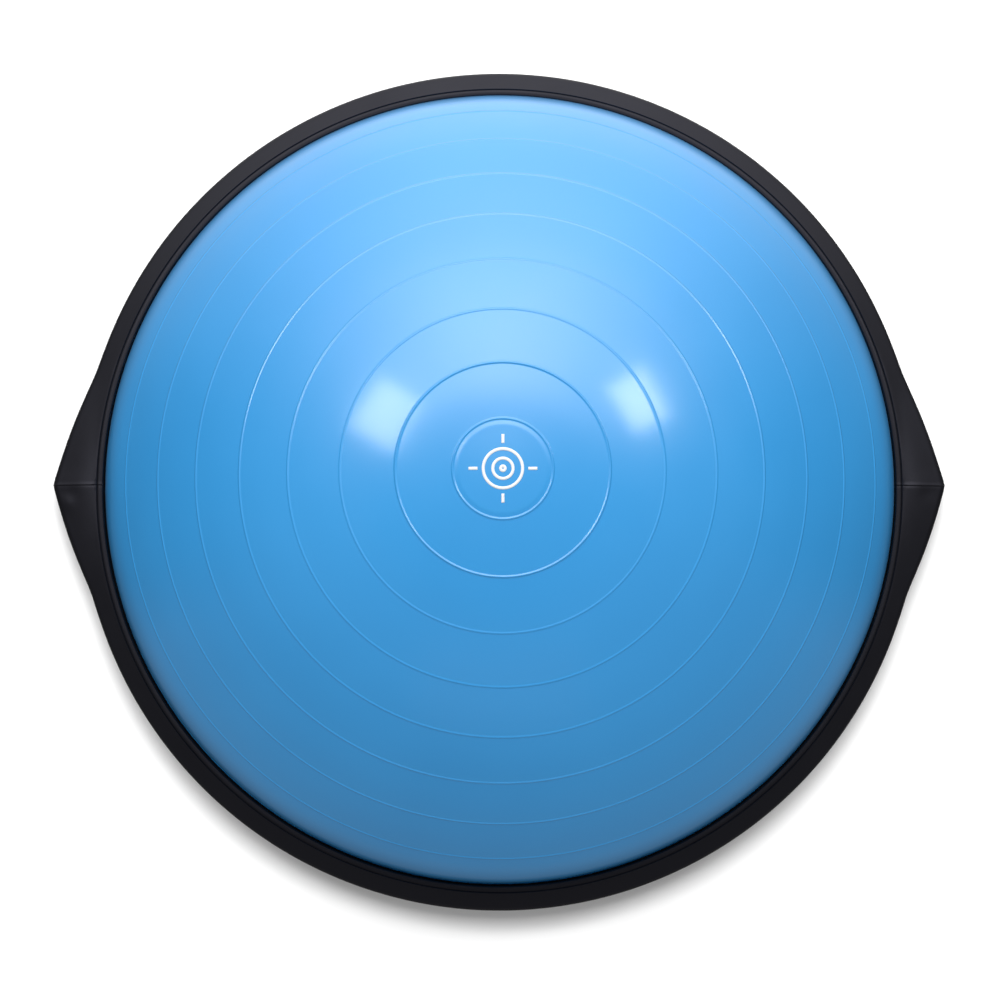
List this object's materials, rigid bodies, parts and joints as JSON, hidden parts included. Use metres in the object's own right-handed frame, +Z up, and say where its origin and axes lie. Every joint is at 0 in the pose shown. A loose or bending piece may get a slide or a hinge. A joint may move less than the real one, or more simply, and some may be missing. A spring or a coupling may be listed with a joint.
{
  "type": "balance dome trainer",
  "caption": "Air-filled half dome with moulded rings, clamped in a rubber-rimmed round platform with finger grips, feet and an air plug, for balance exercise.",
  "frame": {"origin": "on the floor plane, under the dome's axis", "axes": "+Z up along the dome's axis, +X towards one finger grip (the other is at -X), +Y away from the air valve"},
  "size_m": [0.692, 0.6499, 0.2526],
  "materials": {
    "dome_pvc": "glossy sky-blue soft vinyl",
    "rim_rubber": "satin charcoal rubber",
    "platform_plastic": "matt black, finely textured",
    "inner_plastic": "plain black moulding",
    "screw_steel": "zinc-plated",
    "valve_plastic": "pale grey soft plastic",
    "valve_rubber": "matt black rubber",
    "foot_rubber": "matt dark grey rubber"
  },
  "bodies": {
    "platform": {"platform_deck": "platform_plastic", "upper_deck": "inner_plastic", "clamp_ring": "inner_plastic", "clamp_screws": "screw_steel", "bladder_floor": "dome_pvc", "rim_skirt": "rim_rubber", "valve_seat": "valve_plastic", "valve_nut": "valve_plastic", "valve_washer": "valve_rubber", "foot_1": "foot_rubber", "foot_2": "foot_rubber", "foot_3": "foot_rubber", "foot_4": "foot_rubber", "foot_5": "foot_rubber", "foot_6": "foot_rubber", "foot_7": "foot_rubber", "foot_8": "foot_rubber"},
    "dome": {"dome_bladder": "dome_pvc"},
    "plug": {"valve_plug": "valve_plastic"}
  },
  "joints": [
    {"name": "dome_press", "type": "slide", "parent": "platform", "child": "dome", "axis": [0, 0, -1], "range_m": [0, 0.08], "stiffness_N_per_m": 12000, "springref_m": -0.01, "deforming": ["dome_bladder"]},
    {"name": "valve_plug_pull", "type": "slide", "parent": "platform", "child": "plug", "axis": [0, 0, -1], "range_m": [0, 0.03]}
  ]
}
